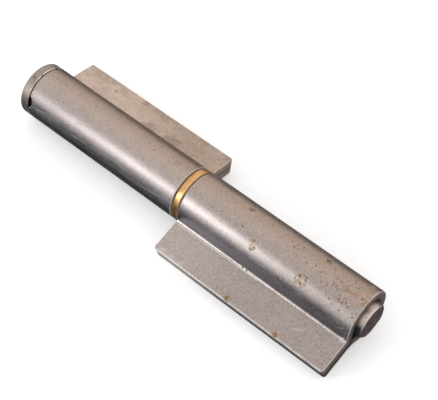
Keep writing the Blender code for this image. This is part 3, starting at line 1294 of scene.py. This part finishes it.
@dataclass
class EndCap(TurnedPiece):
    """The disc on the upper knuckle's outer end, with its spigot."""

    head: float = 3.7 * MM
    spigot_radius: float = 6.7 * MM
    spigot_edge: float = 0.3 * MM
    middle: float = 0.4 * MM
    rim: float = 0.6 * MM
    seat_edge: float = 0.25 * MM
    side_shares: tuple[float, ...] = (0.35, 0.5, 0.65, 0.8)
    unevenness: float = 0.0022
    uneven_size: float = 6 * MM
    seed: int = 5
    face_steps: int = 7
    rim_steps: int = 7
    edge_steps: int = 5

    def profile(self) -> Array:
        """Joins face, rounded rim, side, seat and spigot.

        Returns:
            Stations and radii as (point, 2).
        """
        seat = self.start + self.head
        outer = self.radius
        face = np.stack([np.full(self.face_steps, self.start),
                         np.linspace(self.middle, outer - self.rim, self.face_steps + 1)[:-1]], axis=-1)
        rim = rounded((self.start + self.rim, outer - self.rim), self.rim, 180, 90, self.rim_steps)
        side = np.array([[self.start + share * self.head, outer] for share in self.side_shares])
        seat_edge = rounded((seat - self.seat_edge, outer - self.seat_edge), self.seat_edge, 90, 0,
                            self.edge_steps)
        spigot = np.array([[seat, self.spigot_radius], [self.end - self.spigot_edge, self.spigot_radius],
                           [self.end, self.spigot_radius - self.spigot_edge], [self.end, self.middle]])
        return np.concatenate([face, rim, side, seat_edge, spigot])

    def worn(self, loops: Array) -> Array:
        """Makes the side a little uneven, by waves round and along it.

        Args:
            loops: The smooth loops about the axis.

        Returns:
            The uneven ones.
        """
        turn = np.arctan2(loops[..., 2], loops[..., 1])
        uneven = self.unevenness * waves(turn * self.radius, loops[..., 0], self.uneven_size, self.seed)
        return loops * (1.0 + uneven[..., None] * (0.0, 1.0, 1.0))


@dataclass
class Washer(TurnedPiece):
    """The brass ring between the knuckles."""

    ring: bool = True
    bore: float = 6.8 * MM
    edge: float = 0.45 * MM
    edge_steps: int = 6

    def profile(self) -> Array:
        """Joins the outside, with its two rounded edges, and the bore.

        Returns:
            Stations and radii as (point, 2).
        """
        outer = self.radius - self.edge
        left, right = self.start + self.edge, self.end - self.edge
        outside = np.concatenate([rounded((left, outer), self.edge, 180, 90, self.edge_steps),
                                  np.array([[(left + right) / 2, self.radius]]),
                                  rounded((right, outer), self.edge, 90, 0, self.edge_steps)])
        inside = np.array([[self.end, self.bore], [self.start, self.bore]])
        return np.concatenate([outside, inside])


@dataclass
class Pin(TurnedPiece):
    """The pin, with a beaten, chamfered free end."""

    chamfer: float = 0.75 * MM
    chamfer_length: float = 1.2 * MM
    chamfer_bow: float = 1.5
    easing: float = 0.25 * MM
    nose_edge: float = 1.2 * MM
    nose_middle: float = 0.4 * MM
    face_middle: float = 0.3 * MM
    flat_turn: float = -72.0
    flat_depth: float = 1.35 * MM
    beaten_length: float = 1.5 * MM
    beaten_depth: float = 0.16 * MM
    beaten_size: float = 4.5 * MM
    widening: float = 0.012
    widening_size: float = 7 * MM
    seed: int = 8
    side_steps: int = 24
    chamfer_steps: int = 7
    face_steps: int = 14

    def profile(self) -> Array:
        """Joins nose, side, chamfer and end face, with eased corners.

        Returns:
            Stations and radii as (point, 2).
        """
        nose = np.array([[self.start, self.nose_middle], [self.start, self.radius - self.nose_edge],
                         [self.start + self.nose_edge, self.radius]])
        shoulder = self.end - self.chamfer_length
        station = np.linspace(self.start + 2 * self.nose_edge, shoulder - 3 * self.easing, self.side_steps)
        side = np.stack([station, np.full_like(station, self.radius)], axis=-1)
        slope = np.linspace(0.0, 1.0, self.chamfer_steps)
        chamfer = np.stack([shoulder + slope * self.chamfer_length,
                            self.radius - self.chamfer * slope ** self.chamfer_bow], axis=-1)
        inwards = np.linspace(self.radius - self.chamfer - self.easing, self.face_middle, self.face_steps)
        face = np.stack([np.full_like(inwards, self.end), inwards], axis=-1)
        return np.concatenate([nose, side, chamfer, face])

    def worn(self, loops: Array) -> Array:
        """Beats the end: waves push its face in, and blows have flattened one side of its rim.

        Args:
            loops: The smooth loops about the axis.

        Returns:
            The beaten ones.
        """
        station, across, up = np.moveaxis(loops, -1, 0)
        depth = np.clip((station - self.end) / self.beaten_length + 1.0, 0.0, 1.0)
        dented = 1.0 + waves(across, up, self.beaten_size, self.seed)
        pushed = station - depth * self.beaten_depth * dented
        wider = 1.0 + depth * self.widening * waves(across, up, self.widening_size, self.seed + 1)
        away = ray(math.radians(self.flat_turn))
        side = loops[..., 1:] * wider[..., None]
        over = np.clip(side @ away - (self.radius - depth * self.flat_depth), 0.0, None)
        return np.concatenate([pushed[..., None], side - over[..., None] * away], axis=-1)


@dataclass(frozen=True)
class Worn:
    """Where a knuckle is worn, and where shade and highlights are painted on it, as tables.

    A place on the barrel is a station in millimetres from the knuckle's inner end and an angle in
    degrees. A place on the leaf is a station and a reach from the axis, both in millimetres. A row of
    spots gives stain, strength, radius in millimetres and the places that share them, and a row of
    lines gives stain, strength, width in millimetres and both ends. Rusty rows are wide places where
    freckles crowd.
    """

    barrel_spots: Spots
    leaf_spots: Spots
    leaf_lines: Lines
    barrel_lines: Lines
    freckles: float
    barrel_rusty: Spots = ()
    leaf_rusty: Spots = ()

    def on(self, knuckle: Knuckle) -> Wear:
        """Finds the places on a knuckle.

        Args:
            knuckle: The knuckle.

        Returns:
            Its wear.
        """
        round_at, leaf_at = knuckle.round_at, knuckle.leaf_at
        return Wear(spotted(round_at, self.barrel_spots) + spotted(leaf_at, self.leaf_spots),
                    scratched(leaf_at, self.leaf_lines) + scratched(round_at, self.barrel_lines),
                    spotted(round_at, self.barrel_rusty) + spotted(leaf_at, self.leaf_rusty), self.freckles)


LOWER_WORN = Worn(
    barrel_spots=(
        (MarkColour.UMBER, 0.85, 0.95, ((52.1, 65.0), (47.0, 49.8))),
        (MarkColour.UMBER, 0.80, 0.65, (
            (40.8, 84.5), (53.1, 66.4), (48.2, 123.0), (49.7, 135.2), (68.8, 93.2), (21.1, 70.0))),
        (MarkColour.UMBER, 0.75, 0.50, (
            (21.9, 69.0), (22.9, 109.9), (38.8, 54.7), (66.6, 120.5), (60.1, 127.3), (28.7, 122.8),
            (29.1, 118.0), (29.1, 136.5), (30.2, 130.7), (29.8, 135.0), (49.5, 118.6), (50.8, 124.6),
            (50.4, 120.0), (47.2, 131.0))),
        (MarkColour.OLIVE, 0.90, 1.30, ((21.4, 69.5),)),
        (MarkColour.GOLD, 0.85, 1.20, ((28.8, 120.4),)),
        (MarkColour.GOLD, 0.55, 0.95, ((29.2, 129.5), (29.4, 135.0), (30.2, 131.5))),
        (MarkColour.GOLD, 0.65, 1.15, (
            (47.7, 125.0), (48.1, 134.5), (48.9, 120.5), (50.3, 121.5), (50.9, 130.0), (50.0, 138.5),
            (48.9, 132.0))),
        (MarkColour.OLIVE, 0.75, 1.20, (
            (52.6, 67.3), (69.9, 99.6), (70.2, 93.3), (69.3, 67.6), (68.2, 49.7))),
        # Bright spots in the lamp's band, between 128 and 140 degrees: painted highlight.
        (MarkColour.BRIGHT, 0.40, 0.60, ((49.9, 128.8), (49.3, 139.5), (47.9, 129.5), (29.5, 132.0))),
        (MarkColour.RUST, 0.90, 0.50, ((25.8, 77.5), (30.3, 70.3))),
        (MarkColour.RUST, 0.85, 0.75, ((65.6, 94.9), (66.5, 93.2), (64.6, 94.8))),
        (MarkColour.RUST, 0.40, 0.80, ((35.4, 84.5), (42.9, 97.6), (70.2, 102.0))),
        (MarkColour.SCAB, 0.75, 0.48, (
            (41.3, 77.0), (43.2, 73.5), (47.3, 97.2), (50.5, 91.7), (52.8, 96.7), (53.5, 93.4),
            (55.5, 73.4), (55.0, 110.7), (62.8, 117.4), (64.4, 119.6), (65.5, 116.2), (68.9, 124.5),
            (69.6, 131.1), (64.7, 133.5), (61.6, 132.5))),
        (MarkColour.SCAB, 0.50, 0.65, (
            (58.4, 88.9), (60.2, 88.1), (57.0, 107.4), (58.3, 97.0), (59.6, 101.0), (60.8, 104.1),
            (62.3, 88.9), (63.2, 94.0), (65.6, 78.8), (63.1, 67.9))),
    ),
    leaf_spots=(
        (MarkColour.OLIVE, 0.90, 1.50, ((31.3, 21.7),)),
        (MarkColour.UMBER, 0.75, 0.90, ((31.0, 21.7), (51.6, 22.2))),
        (MarkColour.RUST, 0.80, 1.40, ((51.2, 22.1),)),
        (MarkColour.RUST, 0.60, 0.30, ((21.1, 17.3),)),
        (MarkColour.SCAB, 0.70, 0.36, ((19.5, 22.0), (42.2, 22.0), (59.2, 22.3), (65.0, 15.6), (61.6, 13.3))),
        (MarkColour.SOOT, 0.80, 0.60, ((28.9, 10.3), (30.4, 10.2))),
        (MarkColour.BRIGHT, 0.70, 1.20, ((69.4, 10.6),)),
        # Faint light patches along the leaf's outer edge near the inner end: painted highlight.
        (MarkColour.BRIGHT, 0.28, 2.00, ((3.0, 22.1), (7.0, 22.1), (11.0, 22.1))),
    ),
    leaf_lines=(
        (MarkColour.BRIGHT, 0.45, 0.35, (54.8, 16.8), (57.7, 15.5)),
        # Along the crease: a line of painted highlight, and beside it a line of painted shade.
        (MarkColour.BRIGHT, 0.70, 0.40, (1.6, 11.2), (35.0, 11.0)),
        (MarkColour.SOOT, 0.35, 0.36, (1.0, 10.7), (27.0, 10.7)),
    ),
    barrel_lines=(
        (MarkColour.BRIGHT, 0.80, 0.35, (67.2, 163.0), (68.9, 161.0)),
    ),
    barrel_rusty=(
        (MarkColour.RUST, 0.12, 9.00, ((67.0, 96.0),)),
        (MarkColour.RUST, 0.08, 10.00, ((58.0, 100.0),)),
        (MarkColour.RUST, 0.04, 10.00, ((47.0, 80.0),)),
    ),
    freckles=0.5,
)

UPPER_WORN = Worn(
    barrel_spots=(
        (MarkColour.UMBER, 0.60, 0.42, ((15.8, 87.1),)),
        (MarkColour.OLIVE, 0.50, 1.50, ((6.2, 79.9),)),
        # A black spot at the knuckle's outer end, beside the cap's seat.
        (MarkColour.SOOT, 0.90, 0.90, ((67.9, 54.0),)),
    ),
    leaf_spots=(
        (MarkColour.OLIVE, 0.45, 0.50, ((65.5, 20.2),)),
        (MarkColour.OLIVE, 0.50, 1.10, ((51.6, 17.8),)),
        (MarkColour.BRIGHT, 0.30, 0.75, ((33.5, 14.3), (25.4, 13.3))),
        (MarkColour.UMBER, 0.25, 2.20, ((35.0, 21.6), (39.5, 21.8), (33.0, 21.4))),
        # A soft darkening of the leaf beside the crease: painted shade under the barrel.
        (MarkColour.UMBER, 0.32, 4.00, ((21.0, 12.5), (31.0, 12.0))),
        # Wide faint patches on the leaf's outer edge: darker towards the outer end, lighter at the inner end.
        (MarkColour.UMBER, 0.14, 5.00, ((62.0, 22.5), (49.0, 22.5))),
        (MarkColour.BRIGHT, 0.14, 5.00, ((6.5, 22.5),)),
    ),
    leaf_lines=(
        (MarkColour.OLIVE, 0.45, 0.60, (65.8, 16.6), (63.8, 17.1)),
    ),
    barrel_lines=(
        (MarkColour.UMBER, 0.30, 0.30, (65.8, 78.7), (61.5, 78.6)),
        (MarkColour.UMBER, 0.30, 0.30, (61.5, 78.6), (58.5, 80.7)),
        (MarkColour.UMBER, 0.60, 0.28, (43.9, 77.4), (44.4, 79.6)),
        (MarkColour.UMBER, 0.60, 0.28, (44.9, 77.4), (44.4, 79.6)),
        (MarkColour.SOOT, 0.60, 0.32, (51.5, 152.1), (51.8, 161.3)),
        (MarkColour.SOOT, 0.60, 0.32, (51.8, 161.3), (50.0, 160.9)),
        (MarkColour.SOOT, 0.55, 0.36, (65.9, 159.4), (58.3, 149.6)),
        (MarkColour.BRIGHT, 0.40, 0.40, (65.9, 163.0), (58.3, 153.0)),
        (MarkColour.BRIGHT, 0.60, 0.50, (46.3, 161.9), (39.9, 158.4)),
        (MarkColour.BRIGHT, 0.60, 0.50, (15.2, 170.3), (5.5, 160.9)),
        (MarkColour.SOOT, 0.50, 0.40, (15.2, 173.0), (5.5, 164.0)),
        # Two long faint dark lines along the low flank: dirt streaks that also paint shade there.
        (MarkColour.SOOT, 0.50, 0.40, (56.0, 165.0), (34.0, 163.0)),
        (MarkColour.SOOT, 0.40, 0.35, (47.0, 157.0), (26.0, 158.5)),
    ),
    leaf_rusty=(
        (MarkColour.RUST, 0.07, 8.00, ((56.0, 22.0),)),
    ),
    freckles=0.3,
)


@dataclass
class Hinge:
    """The whole hinge, built half by half."""

    barrel: Barrel = field(default_factory=Barrel.from_frame)

    def lower_half(self) -> None:
        """Builds the lower knuckle, with painted highlight and shade round its barrel, darkest towards its crease,
        and the pin.
        """
        knuckle = Knuckle("lower_leaf", Body.LOWER_HALF, -1.0, self.barrel, outer_rub=0.35, seed=11)
        steel = MillSteel(
            # Round the barrel: brown at the back, painted highlight in the lamp's band near 142 degrees, and
            # painted shade down the flank towards the crease.
            roll=(
                (50, (0.500, 0.385, 0.320)),
                (70, (0.475, 0.362, 0.295)),
                (95, (0.520, 0.418, 0.358)),
                (118, (0.440, 0.382, 0.358)),
                (130, (0.515, 0.445, 0.420)),
                (142, (0.620, 0.545, 0.515)),
                (152, (0.525, 0.460, 0.455)),
                (161, (0.385, 0.378, 0.410)),
                (171, (0.225, 0.228, 0.255)),
            ),
            leaf_near=(0.535, 0.458, 0.432), leaf_far=(0.450, 0.388, 0.362),
            # Cut faces light near the inner end and dark towards the outer: painted light and shade.
            cut_near=(0.800, 0.740, 0.700), cut_far=(0.185, 0.140, 0.125),
            near=knuckle.from_inner(8), far=knuckle.from_inner(34), out=knuckle.from_inner(56),
            flank_painted_shade=0.20, drawn=0.5, stained=0.08, grainy=1.65, wear=LOWER_WORN.on(knuckle))
        knuckle.build("lower_knuckle", steel)
        pin = Pin("hinge_pin", Body.LOWER_HALF, Slot.PIN_STEEL, self.barrel)
        beaten = BeatenSteel(pin.end, knuckle.end, self.barrel.height, pin.radius - pin.chamfer)
        pin.build("pin", beaten, "pin_steel_beaten")

    def washer(self) -> None:
        """Builds the brass washer."""
        ring = Washer("brass_washer", Body.WASHER, Slot.BRASS, self.barrel)
        ring.build("washer_ring", TurnedBrass(ring.start, ring.end), "turned_brass")

    def upper_half(self) -> None:
        """Builds the upper knuckle, browner on its leaf and with painted shade round the low side of its barrel,
        and the end cap.
        """
        knuckle = Knuckle("upper_leaf", Body.UPPER_HALF, 1.0, self.barrel, notched=True, seed=23)
        steel = MillSteel(
            # Round the barrel: brown at the back, lighter near 164 degrees, and painted shade on the low flank and
            # underside from 176 degrees.
            roll=(
                (50, (0.430, 0.330, 0.265)),
                (70, (0.475, 0.362, 0.295)),
                (95, (0.555, 0.445, 0.380)),
                (118, (0.480, 0.415, 0.395)),
                (146, (0.490, 0.430, 0.415)),
                (164, (0.580, 0.530, 0.515)),
                (171, (0.530, 0.475, 0.475)),
                (176, (0.300, 0.285, 0.300)),
                (190, (0.300, 0.290, 0.300)),
                (212, (0.400, 0.345, 0.315)),
            ),
            leaf_near=(0.500, 0.385, 0.310), leaf_far=(0.660, 0.515, 0.430),
            cut_near=(0.360, 0.290, 0.250), cut_far=(0.360, 0.290, 0.250),
            near=knuckle.from_inner(10), far=knuckle.from_inner(46), out=knuckle.from_inner(60),
            flank_painted_shade=0.08, drawn=2.8, stained=0.42, grainy=1.35, wear=UPPER_WORN.on(knuckle))
        knuckle.build("upper_knuckle", steel)
        cap = EndCap("end_cap", Body.UPPER_HALF, Slot.CAP_STEEL, self.barrel)
        seat = cap.start + cap.head
        # A bright fleck and a brown stain near the seat, and a black spot at the seat.
        worn = Wear(marks=(
            Mark(self.barrel.point(cap.start + 3.5 * MM, 99.0), 0.5 * MM, MarkColour.BRIGHT),
            Mark(self.barrel.point(cap.start + 1.6 * MM, 106.0), 0.8 * MM, MarkColour.UMBER, 0.6),
            Mark(self.barrel.point(seat, 54.0), 0.8 * MM, MarkColour.SOOT),
        ))
        cap.build("cap", CapSteel(seat, self.barrel.height, worn), "cap_steel_turned")

    def build(self) -> None:
        """Builds every piece, from the pin's end to the cap."""
        self.lower_half()
        self.washer()
        self.upper_half()


# Studio


@dataclass
class Studio:
    """Floor, dark card, world, lamp and camera."""

    floor_size: float = 12.0
    floor_colour: Colour = (0.93, 0.93, 0.93)
    world_colour: Colour = (1.0, 0.985, 0.97)
    world_strength: float = 0.85
    floor_lift: float = 0.32
    card_colour: Colour = (0.105, 0.118, 0.140)
    card_lift: float = 0.02 * MM
    key_heading: Place = (-0.43, -0.77, 0.47)
    key_distance: float = 0.48
    key_width: float = 0.09
    key_height: float = 0.15
    key_power: float = 0.345
    key_colour: Colour = (0.90, 0.94, 1.0)
    camera_place: Place = (0.167132, -0.163827, 0.346884)
    camera_turn: Place = (34.522, 1.775, 41.058)
    lens: float = 100.37

    def plane(self, name: str, level: float, colour: Colour, roughness: float, gloss: float) -> Graph:
        """Lays a wide plane that is no part of the hinge.

        Args:
            name: Its name.
            level: Its height.
            colour: Its colour.
            roughness: Its roughness.
            gloss: Its specular level.

        Returns:
            The graph of its material, to add to.
        """
        bpy.ops.mesh.primitive_plane_add(size=self.floor_size, location=(0.0, 0.0, level))
        plane = bpy.context.object
        plane.name = name
        graph = Graph(name)
        graph.put(graph.shader.inputs["Base Color"], colour)
        graph.settle(Roughness=roughness, Specular_IOR_Level=gloss)
        plane.data.materials.append(graph.material)
        return graph

    def floor(self) -> None:
        """Lays a plain pale floor, a little lighter to the camera than it is as a source of light."""
        graph = self.plane("floor", 0.0, self.floor_colour, 0.9, 0.1)
        seen = (graph.add("ShaderNodeLightPath", {}, {}, kind)
                for kind in ("Is Camera Ray", "Is Glossy Ray", "Is Transmission Ray"))
        lift = sum(seen, start=0.0) * self.floor_lift
        graph.put(graph.shader.inputs["Emission Color"], graph.shade(lift, (1.0, 1.0, 1.0)))
        graph.settle(Emission_Strength=1.0)

    def card(self) -> None:
        """Lays a dark card on the floor that shows only in the metal's gloss, as a dark bench does."""
        self.plane("dark_card", self.card_lift, self.card_colour, 1.0, 0.0)
        for ray_kind in ("camera", "diffuse", "shadow", "transmission"):
            setattr(bpy.context.object, f"visible_{ray_kind}", False)

    def world(self) -> None:
        """Lights everything evenly from all round."""
        world = bpy.data.worlds.new("soft_surroundings")
        bpy.context.scene.world = world
        world.use_nodes = True
        background = world.node_tree.nodes["Background"]
        background.inputs["Color"].default_value = (*self.world_colour, 1.0)
        background.inputs["Strength"].default_value = self.world_strength

    def key(self) -> None:
        """Hangs one soft box low in front of the hinge, which draws the bands along its barrel."""
        heading = Vector(self.key_heading).normalized()
        lamp = bpy.data.lights.new("soft_box", "AREA")
        lamp.shape = "RECTANGLE"
        lamp.size = self.key_width
        lamp.size_y = self.key_height
        lamp.energy = self.key_power
        lamp.color = self.key_colour
        box = bpy.data.objects.new("soft_box", lamp)
        bpy.context.scene.collection.objects.link(box)
        box.location = heading * self.key_distance
        box.rotation_euler = heading.to_track_quat("Z", "Y").to_euler()
        box.visible_camera = False

    def camera(self) -> None:
        """Sets the camera at the photograph's viewing angle."""
        data = bpy.data.cameras.new("camera")
        data.lens = self.lens
        data.sensor_width = 36.0
        data.clip_start = 0.01
        camera = bpy.data.objects.new("camera", data)
        bpy.context.scene.collection.objects.link(camera)
        camera.location = self.camera_place
        camera.rotation_euler = tuple(math.radians(angle) for angle in self.camera_turn)
        bpy.context.scene.camera = camera

    def build(self) -> None:
        """Sets up the studio."""
        self.floor()
        self.card()
        self.world()
        self.key()
        self.camera()
        bpy.context.scene.view_settings.view_transform = "Standard"


def main() -> None:
    """Builds the studio and the hinge."""
    logging.basicConfig(level=logging.INFO, format="%(name)s: %(message)s")
    Studio().build()
    Hinge().build()


if __name__ == "__main__":
    main()
